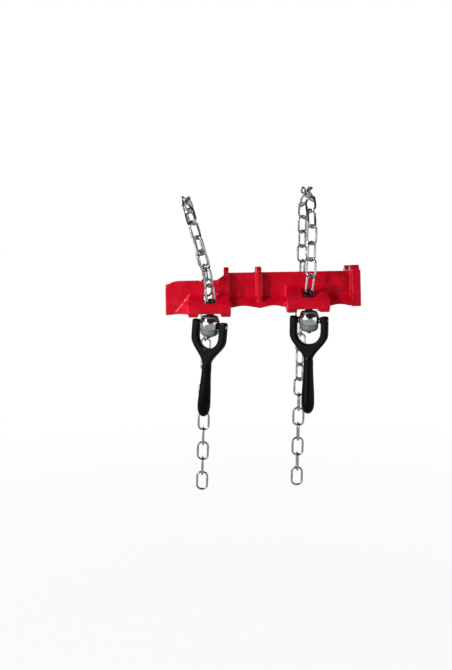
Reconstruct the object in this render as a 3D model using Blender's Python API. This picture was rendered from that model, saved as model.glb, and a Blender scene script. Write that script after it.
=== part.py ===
# Pipe welding vise: a cast saddle base with two chain clamps.
# Metres, +Z up. X runs along the held pipe, -Y is the working side with the handles.
# The origin is the lowest line of the held pipe, halfway along the base.

import functools
import math

import bmesh
import bpy
from mathutils import Matrix, Vector

# Shared clearances
GAP = 0.0003
RUN_CLEAR = 0.0003
OVERRUN = 0.002
ROOT_SINK = 0.001

# Held pipe, which sets the saddles and the chain loops
PIPE_OD = 0.1683
PIPE_CLEAR = 0.0006

# Base casting, overall
BASE_LENGTH = 0.430
RIB_HALF_WIDTH = 0.062
CAST_ROUND = 0.002

# Base casting, saddles (the notches that the pipe lies in)
SADDLE_HALF_WIDTH = 0.036
SADDLE_VEE_DEG = 120
SADDLE_LAND = 0.007
LEDGE_FLAT = 0.010
LEDGE_DROP = 0.003

# Base casting, cross ribs
RIB_THICK = 0.0115
END_RIB_THICK = 0.020
FIRST_RIB_X = -0.0805
SECOND_RIB_X = -0.0075
RIB_BOTTOM = -0.0838
FIRST_RIB_BOTTOM = -0.0975
WEB_BOTTOM = -0.066

# Base casting, long walls between the ribs
WALL_OUTER_HALF = 0.046
WALL_THICK = 0.007
WALL_TOP = -0.005
LIP_START = -0.060
LIP_SHOULDER = -0.070
LIP_THICK = 0.009
SCALLOP_APEX = -0.0785
SCALLOP_EDGE = 0.002
SCALLOP_SIDES = 32

# Base casting, deep bay at the left that clears the fitting
BAY_PLATE_THICK = 0.007
BAY_PLATE_TOP = -0.022
BAY_PLATE_BOTTOM = -0.096
BAY_BOTTOM_RISE = 0.004
BAY_CORNER_RUN = 0.017
BAY_CORNER_DROP = 0.013
# run and drop of the plate's upper outer corner
BAY_CORNER_SHARES = ((0.00, 1.00), (0.33, 0.45), (1.00, 0.00))
BAY_RISE_RUN = 0.023
BAY_RISE_TOP = -0.007
BAY_END_THICK = 0.008
BAY_END_MIDDLE = -0.050
BAY_END_SIDES = 8

# Chain lugs on both long sides
LUG_REACH = 0.100
LUG_ROOT = 0.040
LUG_TOP_TAPER = 0.004
FAR_LUG_HALF = 0.030
FOOT_DROP = 0.007
FOOT_WIDTH = 0.0215
FAR_FOOT_WIDTH = 0.012
FOOT_SETBACK = 0.005
FOOT_INSET = 0.0005
FLOOR_THICK = 0.009
HOOK_FLOOR_THICK = 0.015
HOOK_RECESS = 0.007
HOOK_RECESS_WIDTH = 0.016
POCKET_WIDTH = 0.0275
POCKET_ROUND = 0.0065
POCKET_WALL = 0.0115
POCKET_START = 0.001
POCKET_SIDES = 6
HOOK_SLOT_WIDTH = 0.008
HOOK_SLOT_DEPTH = 0.017
HOOK_SLOT_ROUND = 0.0025

# Chain
WIRE = 0.005
LINK_INNER = 0.0361
LINK_WIDTH = 0.0290
LINK_END_DEPTH = 0.0095
LINK_PLAY = 0.0005
LOOP_ROLL_DEG = 45
LINK_SINK = 0.0010
SINGLE_LOOP_LINKS = 9
TAIL_LINKS = 12
UPPER_TAIL_LINKS = 4
LOWER_TAIL_START = 8
HANG_LEAN_DEG = 2.6
HOOK_SEAT = 0.0009
WIRE_SIDES = 6
LINK_ARC_STEPS = 4
PATH_STEPS = 400
HALVINGS = 40
UNTWIST_LINKS = 6

# Clamping screw
SCREW_INSET = 0.022
SCREW_D = 0.010
EYE_BAR = 0.007
EYE_RADIUS = 0.0085
EYE_LIFT_MIN = 0.0255
SCREW_END = 0.0035
SCREW_SIDES = 16
EYE_STEPS = 16
EYE_BAR_SIDES = 8

# Thrust washer
WASHER_D = 0.016
WASHER_THICK = 0.004

# Clamp nut
NUT_TOP_D = 0.034
NUT_BAND_D = 0.045
NUT_BAND_LOW_D = 0.044
NUT_BODY_D = 0.0396
NUT_END_D = 0.022
NUT_CONE = 0.013
NUT_BAND = 0.012
NUT_STEP = 0.002
NUT_BODY = 0.010
NUT_END = 0.008
NUT_SIDES = 28
PIVOT_DROP = 0.020

# Trunnion pins
PIN_D = 0.008
PIN_SIDES = 16
PIN_BITE = 0.0075

# Fork handle
FORK_INNER = 0.052
FORK_ARM = 0.0162
FORK_THICK = 0.016
FORK_TOP = 0.009
FORK_CROTCH = 0.052
FORK_SHOULDER = 0.030
FORK_NECK_DROP = 0.092
FORK_BOSS_D = 0.0145
FORK_BOSS_CLEAR = 0.0007
FORK_EDGE = 0.0035
FORK_EDGE_STEPS = 2
FORK_ARC_STEPS = 10
NECK_D = 0.0214
GRIP_D = 0.0290
GRIP_SIDES = 16
GRIP_LENGTH = 0.112
FORK_TONGUE_HALF = 0.0075
# distance down the grip and radius between neck and widest, both as shares
GRIP_SHARES = ((0.00, 0.00), (0.12, 0.00), (0.30, 0.28), (0.50, 0.68), (0.68, 0.95), (0.80, 1.00))
# distance and radius of the rounded tip, as shares of the stretch left and of the grip's radius
TIP_SHARES = ((0.45, 0.90), (0.75, 0.68), (0.93, 0.38))
# distance above the neck and radius of the nose inside the yoke, as shares of grip and neck
NOSE_SHARES = ((0.060, 0.94), (0.120, 0.74), (0.165, 0.42), (0.190, 0.00))

# What differs between the two clamps
CLAMPS = {
    "left": {
        "near_x": -0.1165,
        "far_x": -0.1290,
        "lug_low_x": -0.1640,
        "lug_high_x": -0.0717,
        "underside": -0.0930,
        "band": 0.022,
        "top_rise": 0.025,
        "flank_run": 0.031,
        "pocket_shift": 0.0020,
        "root": RIB_HALF_WIDTH - BAY_PLATE_THICK + ROOT_SINK,
        "loop_drop": 0.019,
        "loop_slack": 0.0015,
        "loop_swing": -0.0465,
        "swing_power": 1.15,
        "swing_start": -0.0240,
        "screw_lean_deg": 3.9,
        "fork_turn_deg": -30,
        "fork_swing_deg": 2.6,
    },
    "right": {
        "near_x": 0.0980,
        "far_x": 0.0980,
        "lug_low_x": 0.0487,
        "lug_high_x": 0.1414,
        "underside": -0.0865,
        "band": 0.025,
        "top_rise": 0.030,
        "flank_run": 0,
        "pocket_shift": 0,
        "root": WALL_OUTER_HALF - WALL_THICK + ROOT_SINK,
        "loop_drop": 0,
        "loop_slack": 0,
        "loop_swing": 0.0090,
        "swing_power": 0.35,
        "swing_start": -0.0400,
        "screw_lean_deg": 0,
        "fork_turn_deg": -18,
        "fork_swing_deg": 0,
    },
}

# Colour (linear), roughness and metallic value of each finish
FINISHES = {
    "red_enamel_cast_iron": ((0.62, 0.010, 0.018, 1.0), 0.35, 0.0),
    "zinc_plated_steel": ((0.62, 0.64, 0.66, 1.0), 0.25, 1.0),
    "black_oxide_steel": ((0.020, 0.020, 0.022, 1.0), 0.40, 0.6),
    "black_enamel_cast_iron": ((0.008, 0.008, 0.009, 1.0), 0.22, 0.0),
}
SMOOTH_BELOW_DEG = 35
BEVEL_ABOVE_DEG = 60

PIPE_R = PIPE_OD / 2
SCREW_OUT = LUG_REACH - SCREW_INSET
HALF_VEE = math.radians((180 - SADDLE_VEE_DEG) / 2)
SADDLE_CORNER = PIPE_R - math.sqrt(PIPE_R**2 - SADDLE_HALF_WIDTH**2) - GAP
WIRE_R = WIRE / 2
LINK_PITCH = LINK_INNER - LINK_PLAY
LINK_BOW = (LINK_WIDTH - WIRE) / 2
LOOP_STAND = math.sin(math.radians(LOOP_ROLL_DEG)) * LINK_BOW + WIRE_R
LOOP_R = PIPE_R + LOOP_STAND + PIPE_CLEAR
NUT_LENGTH = NUT_CONE + NUT_BAND + NUT_STEP + NUT_BODY + NUT_END


def clear_scene():
    for obj in list(bpy.data.objects):
        bpy.data.objects.remove(obj, do_unlink=True)


def material(name):
    colour, roughness, metallic = FINISHES[name]
    mat = bpy.data.materials.new(name)
    mat.use_nodes = True
    shader = mat.node_tree.nodes["Principled BSDF"]
    shader.inputs["Base Color"].default_value = colour
    shader.inputs["Roughness"].default_value = roughness
    shader.inputs["Metallic"].default_value = metallic
    return mat


def add_object(name, bm, mat=None, smooth=False):
    bmesh.ops.recalc_face_normals(bm, faces=bm.faces)
    mesh = bpy.data.meshes.new(name)
    bm.to_mesh(mesh)
    bm.free()
    if smooth:
        mesh.shade_smooth()
        mesh.set_sharp_from_angle(angle=math.radians(SMOOTH_BELOW_DEG))
    obj = bpy.data.objects.new(name, mesh)
    bpy.context.collection.objects.link(obj)
    if mat:
        mesh.materials.append(mat)
    return obj


def add_axis(name, frame):
    """An empty on a joint's axis, which carries the pieces that move with that joint."""
    empty = bpy.data.objects.new(name, None)
    bpy.context.collection.objects.link(empty)
    empty.matrix_world = frame
    return empty


def hang(obj, empty):
    """Parents an object to a joint's empty and leaves it where it is."""
    obj.parent = empty
    obj.matrix_parent_inverse = empty.matrix_world.inverted()


def combine(target, tool, operation):
    """Adds a boolean of a hidden tool solid, which follows the target when it moves."""
    tool.parent = target
    tool.hide_render = True
    tool.display_type = "WIRE"
    mod = target.modifiers.new(tool.name, "BOOLEAN")
    mod.operation = operation
    mod.object = tool
    mod.solver = "EXACT"


def prism(points, direction):
    """A flat outline of 3-D points swept along a vector."""
    bm = bmesh.new()
    face = bm.faces.new([bm.verts.new(p) for p in points])
    sweep = bmesh.ops.extrude_face_region(bm, geom=[face])
    moved = [v for v in sweep["geom"] if isinstance(v, bmesh.types.BMVert)]
    bmesh.ops.translate(bm, verts=moved, vec=direction)
    return bm


def prism_along_x(outline, low, high):
    return prism([(low, y, z) for y, z in outline], (high - low, 0, 0))


def prism_along_y(outline, low, high):
    return prism([(x, low, z) for x, z in outline], (0, high - low, 0))


def hull(points):
    bm = bmesh.new()
    for p in points:
        bm.verts.new(p)
    bmesh.ops.convex_hull(bm, input=bm.verts)
    return bm


def turned(profile, sides, frame):
    """A closed solid of revolution about the frame's Z from (radius, height) points."""
    bm = bmesh.new()
    rings = []
    for radius, height in profile:
        if radius == 0:
            rings.append([bm.verts.new((0, 0, height))])
            continue
        ring = []
        for k in range(sides):
            turn = math.tau * k / sides
            ring.append(bm.verts.new((radius * math.cos(turn), radius * math.sin(turn), height)))
        rings.append(ring)
    for a, b in zip(rings, rings[1:]):
        for k in range(sides):
            n = (k + 1) % sides
            if len(a) == 1:
                bm.faces.new((a[0], b[n], b[k]))
            elif len(b) == 1:
                bm.faces.new((a[k], a[n], b[0]))
            else:
                bm.faces.new((a[k], a[n], b[n], b[k]))
    if len(rings[0]) > 1:
        bm.faces.new(rings[0])
    if len(rings[-1]) > 1:
        bm.faces.new(list(reversed(rings[-1])))
    bmesh.ops.transform(bm, matrix=frame, verts=bm.verts)
    return bm


def rod(radius, start, end, sides):
    """A plain round bar between two points."""
    axis = end - start
    frame = Matrix.Translation(start) @ axis.to_track_quat("Z", "Y").to_matrix().to_4x4()
    return turned([(radius, 0), (radius, axis.length)], sides, frame)


def closed_tube(bm, centres, radius, sides, side_axis):
    """A round wire along a closed flat path; side_axis is the path plane's normal."""
    count = len(centres)
    rings = []
    for k, centre in enumerate(centres):
        along = (centres[(k + 1) % count] - centres[k - 1]).normalized()
        out = along.cross(side_axis).normalized()
        ring = []
        for s in range(sides):
            turn = math.tau * s / sides
            ring.append(bm.verts.new(centre + radius * (math.cos(turn) * out + math.sin(turn) * side_axis)))
        rings.append(ring)
    for k in range(count):
        a = rings[k]
        b = rings[(k + 1) % count]
        for s in range(sides):
            n = (s + 1) % sides
            bm.faces.new((a[s], a[n], b[n], b[s]))


def link_mesh(start, end, roll, start_hold, end_hold):
    """One oval link between two joint points; a hold is how far its wire runs past a joint."""
    along = (end - start).normalized()
    wide = link_wide(start, end, roll)
    centres = []
    for joint, side, hold in ((end, 1, end_hold), (start, -1, start_hold)):
        for k in range(LINK_ARC_STEPS + 1):
            turn = math.pi * k / LINK_ARC_STEPS
            offset = side * (hold - LINK_END_DEPTH + LINK_END_DEPTH * math.sin(turn))
            centres.append(joint + offset * along + side * LINK_BOW * math.cos(turn) * wide)
    bm = bmesh.new()
    closed_tube(bm, centres, WIRE_R, WIRE_SIDES, along.cross(wide))
    return bm


def loop_centre(clamp):
    """Height of the loop's centre: the pipe's axis, or lower where a fitting bends down."""
    return PIPE_R - clamp["loop_drop"]


def loop_tilt(clamp):
    """Lean of a straight chain run that touches the loop's circle, from the vertical."""
    drop = loop_centre(clamp) - clamp["underside"]
    span = math.hypot(SCREW_OUT, drop)
    return math.atan2(drop, SCREW_OUT) - math.acos((LOOP_R + clamp["loop_slack"]) / span)


def loop_path(clamp):
    """Points along a chain's centre line from the near lug's underside to the far one's."""
    tilt = loop_tilt(clamp)
    radius = LOOP_R + clamp["loop_slack"]
    centre = loop_centre(clamp)
    run = math.sqrt(SCREW_OUT**2 + (centre - clamp["underside"]) ** 2 - radius**2)
    arc = math.pi + 2 * tilt
    total = 2 * run + radius * arc
    top = centre + radius
    points = []
    for k in range(PATH_STEPS + 1):
        f = k / PATH_STEPS
        s = f * total
        if s < run:
            y = -SCREW_OUT - s * math.sin(tilt)
            z = clamp["underside"] + s * math.cos(tilt)
        elif s > total - run:
            s = total - s
            y = SCREW_OUT + s * math.sin(tilt)
            z = clamp["underside"] + s * math.cos(tilt)
        else:
            turn = math.pi + tilt - (s - run) / radius
            y = radius * math.cos(turn)
            z = centre + radius * math.sin(turn)
        climb = max(0.0, (z - clamp["swing_start"]) / (top - clamp["swing_start"]))
        level = clamp["near_x"] + f * (clamp["far_x"] - clamp["near_x"])
        points.append(Vector((level + clamp["loop_swing"] * climb ** clamp["swing_power"], y, z)))
    return points


def walk(points, start, step, count):
    """Joint points a chord apart along a path, from a distance along it."""
    travelled = 0.0
    index = 0
    while travelled + (points[index + 1] - points[index]).length < start:
        travelled += (points[index + 1] - points[index]).length
        index += 1
    first = points[index].lerp(
        points[index + 1], (start - travelled) / (points[index + 1] - points[index]).length
    )
    joints = [first]
    for _ in range(count):
        while index + 2 < len(points) and (points[index + 1] - joints[-1]).length < step:
            index += 1
        low, high = 0.0, 1.0
        for _ in range(HALVINGS):
            middle = (low + high) / 2
            if (points[index].lerp(points[index + 1], middle) - joints[-1]).length < step:
                low = middle
            else:
                high = middle
        joints.append(points[index].lerp(points[index + 1], low))
    return joints


def screw_frame(side):
    """Frame at the near lug's underside: Z up along the screw, X the way the nut faces."""
    clamp = CLAMPS[side]
    tilt = loop_tilt(clamp)
    lean = math.radians(clamp["screw_lean_deg"])
    up = Vector((math.tan(lean), -math.sin(tilt), math.cos(tilt))).normalized()
    right = Vector((1, 0, 0))
    right = (right - right.dot(up) * up).normalized()
    frame = Matrix((right, up.cross(right), up)).transposed().to_4x4()
    frame.translation = (clamp["near_x"], -SCREW_OUT, clamp["underside"])
    return frame


def far_frame(side):
    """Frame at the far lug's underside: Z up along the chain, Y outwards."""
    clamp = CLAMPS[side]
    tilt = loop_tilt(clamp)
    up = Vector((0, math.sin(tilt), math.cos(tilt)))
    out = Vector((0, math.cos(tilt), -math.sin(tilt)))
    frame = Matrix((-Vector((1, 0, 0)), out, up)).transposed().to_4x4()
    frame.translation = (clamp["far_x"], SCREW_OUT, clamp["underside"])
    return frame


@functools.cache
def chain_layout(side):
    """Joint points of a chain: the loop from the screw's eye to the hook, then the tail."""
    clamp = CLAMPS[side]
    path = loop_path(clamp)
    length = sum((b - a).length for a, b in zip(path, path[1:]))
    seat = WIRE_R + HOOK_SEAT + WIRE_R + LINK_PLAY / 2 - HOOK_RECESS
    far_up = far_frame(side).to_3x3() @ Vector((0, 0, 1))
    if seat > 0:
        path = path + [path[-1] - far_up * seat]
    count = int((length + seat - EYE_LIFT_MIN) / LINK_PITCH)
    # chords are a little shorter than the arc, so the start is found by trial
    low, high = 0.0, length + seat - count * LINK_PITCH + LINK_PITCH
    for _ in range(HALVINGS):
        start = (low + high) / 2
        end = walk(path, start, LINK_PITCH, count)[-1]
        if (end - path[-1]).dot(far_up) > max(0, -seat):
            low = start
        else:
            high = start
    joints = walk(path, low, LINK_PITCH, count)
    # the first joint moves sideways onto the screw's own axis
    screw = screw_frame(side)
    axis = screw.to_3x3() @ Vector((0, 0, 1))
    reach = joints[1] - screw.translation
    aside = (reach - reach.dot(axis) * axis).length
    lift = reach.dot(axis) - math.sqrt(LINK_PITCH**2 - aside**2)
    joints[0] = screw.translation + lift * axis
    lean = math.radians(HANG_LEAN_DEG)
    down = Vector((-math.sin(lean), 0, -math.cos(lean)))
    tail = [joints[-1] + k * LINK_PITCH * down for k in range(TAIL_LINKS + 1)]
    return joints, tail, lift


def loop_rolls(count):
    """Roll of each loop link: diagonal round the pipe, square at the hook."""
    rolls = []
    for k in range(count):
        left = count - 1 - k
        share = max(0.0, 1 - left / UNTWIST_LINKS)
        roll = math.radians(LOOP_ROLL_DEG) * (1 if left % 2 == 0 else -1)
        settle = math.radians(90 - LOOP_ROLL_DEG)
        rolls.append(roll + settle * share)
    return rolls


def link_wide(start, end, roll):
    """The way a link between two joint points spreads, square to its length."""
    along = (end - start).normalized()
    across = Vector((1, 0, 0))
    across = (across - across.dot(along) * along).normalized()
    return math.cos(roll) * across + math.sin(roll) * along.cross(across)


def tail_frame(side, index):
    """Frame where a tail link hangs in the one above: X is the axis that it sways about."""
    _, tail, _ = chain_layout(side)
    start, end = tail[index], tail[index + 1]
    along = (end - start).normalized()
    wide = link_wide(start, end, tail_rolls()[index])
    frame = Matrix((wide, along.cross(wide) * -1, -along)).transposed().to_4x4()
    frame.translation = start - along * (WIRE_R + LINK_PLAY / 2)
    return frame


def tail_rolls():
    """Roll of each tail link: crosswise under the hook, a quarter turn on lower down."""
    rolls = []
    for k in range(TAIL_LINKS):
        twist = min(1.0, k / UNTWIST_LINKS) * math.pi / 2
        rolls.append(k * math.pi / 2 + twist)
    return rolls


def rib_outline(bottom):
    """Half-and-half outline of a cross rib in Y and Z, with its saddle notch."""
    vertex = SADDLE_CORNER - SADDLE_HALF_WIDTH * math.tan(HALF_VEE)
    land = SADDLE_HALF_WIDTH + SADDLE_LAND
    ledge = RIB_HALF_WIDTH - CAST_ROUND - LEDGE_FLAT
    inner = WALL_OUTER_HALF - WALL_THICK
    half = [
        (SADDLE_HALF_WIDTH, SADDLE_CORNER),
        (land, SADDLE_CORNER),
        (ledge, -LEDGE_DROP),
        (RIB_HALF_WIDTH - CAST_ROUND, -LEDGE_DROP),
        (RIB_HALF_WIDTH, -LEDGE_DROP - CAST_ROUND),
        (RIB_HALF_WIDTH, bottom),
        (inner + LIP_THICK, bottom),
        (inner, WEB_BOTTOM),
    ]
    mirrored = [(-y, z) for y, z in reversed(half)]
    return [(0, vertex)] + half + mirrored


def wall_outline(sign):
    """A long wall with its flared bottom lip."""
    inner = WALL_OUTER_HALF - WALL_THICK
    shoulder = RIB_HALF_WIDTH - CAST_ROUND
    points = [
        (inner, WALL_TOP),
        (WALL_OUTER_HALF, WALL_TOP),
        (WALL_OUTER_HALF, LIP_START),
        (shoulder, LIP_SHOULDER),
        (RIB_HALF_WIDTH, LIP_SHOULDER - CAST_ROUND),
        (RIB_HALF_WIDTH, RIB_BOTTOM + CAST_ROUND),
        (RIB_HALF_WIDTH - LIP_THICK, RIB_BOTTOM + CAST_ROUND),
        (inner, LIP_START - LIP_THICK),
    ]
    return [(sign * y, z) for y, z in points]


def bay_outline():
    """A side plate of the deep bay in X and Z."""
    left = -BASE_LENGTH / 2
    rib = FIRST_RIB_X
    lug = CLAMPS["left"]["lug_low_x"]
    points = [
        (rib - BAY_RISE_RUN, BAY_PLATE_TOP),
        (rib, BAY_RISE_TOP),
        (rib, BAY_PLATE_BOTTOM + BAY_BOTTOM_RISE),
        (lug, BAY_PLATE_BOTTOM + BAY_BOTTOM_RISE),
        (left, BAY_PLATE_BOTTOM),
    ]
    for run, drop in BAY_CORNER_SHARES:
        points.append((left + BAY_CORNER_RUN * run, BAY_PLATE_TOP - BAY_CORNER_DROP * drop))
    return points


def bay_end_outline():
    """The end web of the deep bay, dished to clear a pipe fitting."""
    half = RIB_HALF_WIDTH - BAY_PLATE_THICK / 2
    radius = PIPE_R + PIPE_CLEAR
    centre = BAY_END_MIDDLE + radius
    reach = math.asin(half / radius)
    points = [(-half, BAY_PLATE_BOTTOM + BAY_BOTTOM_RISE), (half, BAY_PLATE_BOTTOM + BAY_BOTTOM_RISE)]
    for k in range(BAY_END_SIDES + 1):
        turn = reach - 2 * reach * k / BAY_END_SIDES
        points.append((radius * math.sin(turn), centre - radius * math.cos(turn)))
    return points


def lug_span(clamp, sign):
    """Where a lug starts and ends along the base; the far lugs are narrower."""
    if sign < 0:
        return clamp["lug_low_x"], clamp["lug_high_x"]
    return clamp["far_x"] - FAR_LUG_HALF, clamp["far_x"] + FAR_LUG_HALF


def lug_hull(clamp, sign):
    """A wedge lug: front band, sloping top, and a flank that runs out into the bay's plate."""
    low, high = lug_span(clamp, sign)
    bottom = clamp["underside"]
    band_top = bottom + clamp["band"] - CAST_ROUND
    root_top = band_top + clamp["top_rise"]
    points = []
    for x, taper in ((low, LUG_TOP_TAPER), (high, -LUG_TOP_TAPER)):
        for z in (bottom, band_top - CAST_ROUND):
            points.append((x, sign * LUG_REACH, z))
        points.append((x, sign * (LUG_REACH - CAST_ROUND), band_top))
        points.append((x, sign * clamp["root"], bottom))
        points.append((x + taper, sign * clamp["root"], root_top))
    if sign < 0 and clamp["flank_run"] > 0:
        points.append((low - clamp["flank_run"], sign * clamp["root"], bottom))
        points.append((low - clamp["flank_run"], sign * (RIB_HALF_WIDTH + GAP), bottom))
    return hull(points)


def foot_boxes(clamp, sign):
    """The two feet under a lug, set back from its front."""
    low, high = lug_span(clamp, sign)
    width = FOOT_WIDTH if sign < 0 else FAR_FOOT_WIDTH
    bottom = clamp["underside"] - FOOT_DROP
    top = clamp["underside"] + ROOT_SINK
    y_low, y_high = sorted((sign * (clamp["root"] + ROOT_SINK), sign * (LUG_REACH - FOOT_SETBACK)))
    world = Matrix.Identity(4)
    return [boxed((start, y_low, bottom), (start + width, y_high, top), world)
            for start in (low + FOOT_INSET, high - width - FOOT_INSET)]


def boxed(size_low, size_high, frame):
    """A box between two corners of a frame."""
    corners = [(x, y, z) for x in (size_low[0], size_high[0])
               for y in (size_low[1], size_high[1]) for z in (size_low[2], size_high[2])]
    bm = hull([frame @ Vector(c) for c in corners])
    return bm


def slot_cutter(width, inner, outer, low, high, radius, frame):
    """An upright slot whose outer end is rounded; inner and outer are along the frame's Y."""
    half = width / 2
    points = [(-half, inner), (half, inner)]
    for corner, first in ((half - radius, 0), (-half + radius, math.pi / 2)):
        for k in range(POCKET_SIDES + 1):
            turn = first + math.pi / 2 * k / POCKET_SIDES
            points.append((corner + radius * math.cos(turn), outer - radius + radius * math.sin(turn)))
    bottom = [frame @ Vector((x, y, low)) for x, y in points]
    lift = (frame.to_3x3() @ Vector((0, 0, 1))) * (high - low)
    return prism(bottom, lift)


def outward_frame(side, sign):
    """The frame of a lug's chain: Z along the chain, Y pointing out of the lug."""
    if sign > 0:
        return far_frame(side)
    frame = screw_frame(side)
    return frame @ Matrix.Rotation(math.pi, 4, "Z")


def cut_lug(base, side, sign):
    clamp = CLAMPS[side]
    frame = outward_frame(side, sign)
    label = f"{side}_{'far' if sign > 0 else 'near'}"
    pocket_outer = SCREW_INSET - POCKET_WALL
    pocket_inner = WALL_OUTER_HALF + POCKET_START - SCREW_OUT
    rise = WALL_TOP - clamp["underside"] + OVERRUN
    if clamp["root"] < WALL_OUTER_HALF:
        rise = clamp["band"] + clamp["top_rise"] + POCKET_ROUND
    floor = HOOK_FLOOR_THICK if sign > 0 else FLOOR_THICK
    shifted = frame @ Matrix.Translation((clamp["pocket_shift"] if sign < 0 else 0, 0, 0))
    tool = slot_cutter(POCKET_WIDTH, pocket_inner, pocket_outer, floor, rise, POCKET_ROUND, shifted)
    combine(base, add_object(f"{label}_pocket_tool", tool), "DIFFERENCE")
    centre = clamp["far_x"] if sign > 0 else clamp["near_x"]
    lug_low, lug_high = lug_span(clamp, sign)
    mid = (lug_low + lug_high) / 2
    half = (lug_high - lug_low) / 2 - (FAR_FOOT_WIDTH if sign > 0 else FOOT_WIDTH)
    inner = clamp["root"] - SCREW_OUT - OVERRUN
    low = (centre - mid - half, inner, -2 * FOOT_DROP)
    high = (centre - mid + half, LUG_REACH, 0)
    combine(base, add_object(f"{label}_seat_tool", boxed(low, high, frame)), "DIFFERENCE")
    if sign > 0:
        slot = slot_cutter(HOOK_SLOT_WIDTH, -HOOK_SLOT_DEPTH, LUG_REACH, -OVERRUN,
                           rise, HOOK_SLOT_ROUND, frame)
        combine(base, add_object(f"{label}_hook_tool", slot), "DIFFERENCE")
        across = LINK_WIDTH / 2 + WIRE_R
        low = (-across, -HOOK_RECESS_WIDTH / 2, -2 * FOOT_DROP)
        high = (across, HOOK_RECESS_WIDTH / 2, HOOK_RECESS)
        combine(base, add_object(f"{label}_recess_tool", boxed(low, high, frame)), "DIFFERENCE")
    else:
        up = frame.to_3x3() @ Vector((0, 0, 1))
        start = frame.translation - up * OVERRUN
        bore = rod(SCREW_D / 2 + RUN_CLEAR, start, start + up * (FLOOR_THICK + 2 * OVERRUN), SCREW_SIDES)
        combine(base, add_object(f"{label}_bore_tool", bore), "DIFFERENCE")


def scallop_tool(low, high, name):
    """A round bar across the base that arches the lip between two ribs."""
    half = (high - low) / 2
    rise = SCALLOP_APEX - RIB_BOTTOM
    radius = (half**2 + rise**2) / (2 * rise)
    centre = Vector(((low + high) / 2, 0, SCALLOP_APEX - radius))
    across = Vector((0, RIB_HALF_WIDTH + OVERRUN, 0))
    return add_object(name, rod(radius, centre - across, centre + across, SCALLOP_SIDES * 2))


def build_base(mat):
    half_rib = RIB_THICK / 2
    right = BASE_LENGTH / 2
    left = -BASE_LENGTH / 2
    end_low = right - END_RIB_THICK
    base = add_object("base_casting", prism_along_x(rib_outline(RIB_BOTTOM), end_low, right), mat)
    parts = []
    parts.append(("rib_one", prism_along_x(
        rib_outline(FIRST_RIB_BOTTOM), FIRST_RIB_X - half_rib, FIRST_RIB_X + half_rib)))
    parts.append(("rib_two", prism_along_x(
        rib_outline(RIB_BOTTOM), SECOND_RIB_X - half_rib, SECOND_RIB_X + half_rib)))
    for sign, word in ((-1, "near"), (1, "far")):
        parts.append((f"wall_{word}", prism_along_x(wall_outline(sign), FIRST_RIB_X, right - END_RIB_THICK / 2)))
        inner = sign * (RIB_HALF_WIDTH - BAY_PLATE_THICK)
        parts.append((f"bay_{word}", prism_along_y(bay_outline(), inner, sign * RIB_HALF_WIDTH)))
    parts.append(("bay_end", prism_along_x(bay_end_outline(), left, left + BAY_END_THICK)))
    for side, clamp in CLAMPS.items():
        for sign, word in ((-1, "near"), (1, "far")):
            parts.append((f"{side}_lug_{word}", lug_hull(clamp, sign)))
            for k, foot in enumerate(foot_boxes(clamp, sign)):
                parts.append((f"{side}_foot_{word}_{k + 1}", foot))
    for name, bm in parts:
        combine(base, add_object(f"{name}_tool", bm), "UNION")
    bays = (
        (FIRST_RIB_X + half_rib, SECOND_RIB_X - half_rib),
        (SECOND_RIB_X + half_rib, CLAMPS["right"]["lug_low_x"]),
        (CLAMPS["right"]["lug_high_x"], end_low),
    )
    for k, (low, high) in enumerate(bays):
        tool = scallop_tool(low + SCALLOP_EDGE, high - SCALLOP_EDGE, f"scallop_{k + 1}_tool")
        combine(base, tool, "DIFFERENCE")
    for side in CLAMPS:
        for sign in (-1, 1):
            cut_lug(base, side, sign)
    return base


def build_screw(side, lift, mat):
    """Eye screw: its eye holds the first link, its shank passes the lug, washer and nut."""
    frame = screw_frame(side)
    up = frame.to_3x3() @ Vector((0, 0, 1))
    centre = frame.translation + up * (lift + LINK_PLAY / 2 + EYE_BAR / 2 - EYE_RADIUS)
    turn = -math.radians(LOOP_ROLL_DEG) * first_roll_sign(side)
    x_axis = frame.to_3x3() @ Vector((1, 0, 0))
    y_axis = frame.to_3x3() @ Vector((0, 1, 0))
    wide = math.cos(turn) * x_axis + math.sin(turn) * y_axis
    bm = bmesh.new()
    centres = []
    for k in range(EYE_STEPS):
        a = math.tau * k / EYE_STEPS
        centres.append(centre + EYE_RADIUS * (math.cos(a) * wide + math.sin(a) * up))
    closed_tube(bm, centres, EYE_BAR / 2, EYE_BAR_SIDES, wide.cross(up))
    screw = add_object(f"{side}_chain_screw", bm, mat, smooth=True)
    end = frame.translation - up * (WASHER_THICK + 2 * GAP + NUT_LENGTH + SCREW_END)
    shank = rod(SCREW_D / 2, end, centre - up * EYE_RADIUS, SCREW_SIDES)
    combine(screw, add_object(f"{side}_shank_tool", shank), "UNION")
    return screw


def first_roll_sign(side):
    joints, _, _ = chain_layout(side)
    return 1 if (len(joints) - 2) % 2 == 0 else -1


def build_washer(side, mat):
    frame = screw_frame(side)
    up = frame.to_3x3() @ Vector((0, 0, 1))
    top = frame.translation - up * GAP
    washer = add_object(f"{side}_thrust_washer",
                        rod(WASHER_D / 2, top - up * WASHER_THICK, top, SCREW_SIDES), mat)
    bore = rod(SCREW_D / 2 + RUN_CLEAR, top - up * (WASHER_THICK + OVERRUN), top + up * OVERRUN, SCREW_SIDES)
    combine(washer, add_object(f"{side}_washer_bore_tool", bore), "DIFFERENCE")
    return washer


def nut_frame(side):
    """Frame at the nut's top: Z up along the screw, X along the trunnion pins."""
    frame = screw_frame(side)
    turn = math.radians(CLAMPS[side]["fork_turn_deg"])
    drop = Matrix.Translation((0, 0, -(WASHER_THICK + 2 * GAP)))
    return frame @ drop @ Matrix.Rotation(turn, 4, "Z")


def pivot_frame(side):
    """Frame where the pins' axis crosses the screw's."""
    return nut_frame(side) @ Matrix.Translation((0, 0, -PIVOT_DROP))


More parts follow.
